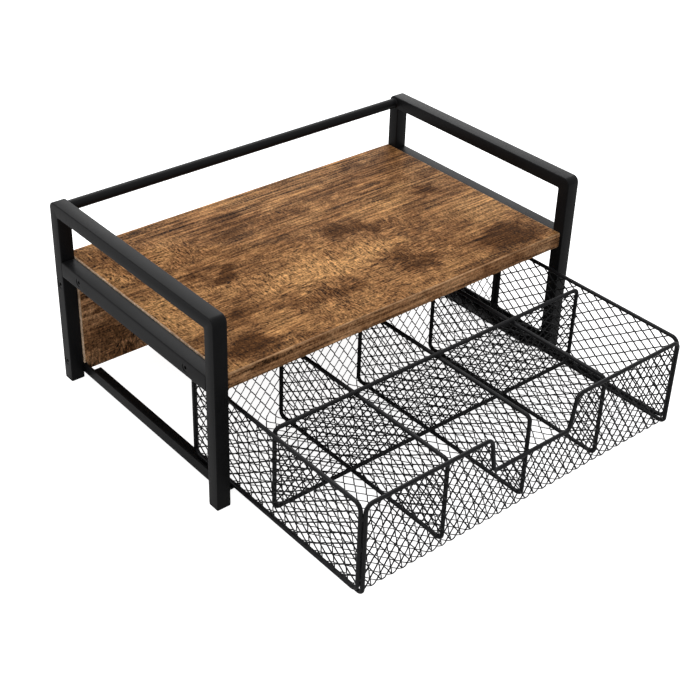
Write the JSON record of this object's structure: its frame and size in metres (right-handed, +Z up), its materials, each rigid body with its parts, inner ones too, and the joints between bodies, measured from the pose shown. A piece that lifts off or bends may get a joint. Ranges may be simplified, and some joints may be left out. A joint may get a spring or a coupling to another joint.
{
  "type": "coffee capsule holder",
  "caption": "Raised shelf on two square-tube side frames with a pull-out wire-mesh drawer divided for coffee capsules underneath.",
  "frame": {"origin": "on the table, at the middle of the box round the stand and its drawn-out drawer", "axes": "+Z up, +X to the right seen from the front, the drawer comes out along -Y"},
  "size_m": [0.332, 0.325, 0.15],
  "materials": {
    "frame_steel": "satin black powder coat",
    "drawer_wire": "satin black powder coat",
    "drawer_mesh": "satin black powder coat",
    "screw_steel": "black oxide",
    "plug_plastic": "matte black",
    "rustic_board": "rustic brown wood-grain laminate"
  },
  "bodies": {
    "stand": {"left_front_leg": "frame_steel", "right_front_leg": "frame_steel", "left_rear_leg": "frame_steel", "right_rear_leg": "frame_steel", "left_top_rail": "frame_steel", "right_top_rail": "frame_steel", "left_shelf_rail": "frame_steel", "right_shelf_rail": "frame_steel", "left_drawer_runner": "frame_steel", "right_drawer_runner": "frame_steel", "back_rod": "frame_steel", "shelf_board": "rustic_board", "back_panel": "rustic_board", "shelf_screws": "screw_steel", "panel_screws": "screw_steel", "foot_plugs": "plug_plastic"},
    "drawer": {"front_frame_wire": "drawer_wire", "rear_frame_wire": "drawer_wire", "left_side_wire": "drawer_wire", "right_side_wire": "drawer_wire", "left_divider_wire": "drawer_wire", "middle_divider_wire": "drawer_wire", "right_divider_wire": "drawer_wire", "cross_divider_wire": "drawer_wire", "front_mesh": "drawer_mesh", "floor_mesh": "drawer_mesh", "rear_mesh": "drawer_mesh", "left_side_mesh": "drawer_mesh", "right_side_mesh": "drawer_mesh", "left_divider_mesh": "drawer_mesh", "middle_divider_mesh": "drawer_mesh", "right_divider_mesh": "drawer_mesh", "cross_divider_mesh": "drawer_mesh"}
  },
  "joints": [
    {"name": "drawer_slide", "type": "slide", "parent": "stand", "child": "drawer", "axis": [0, 1, 0], "range_m": [0, 0.125]}
  ]
}
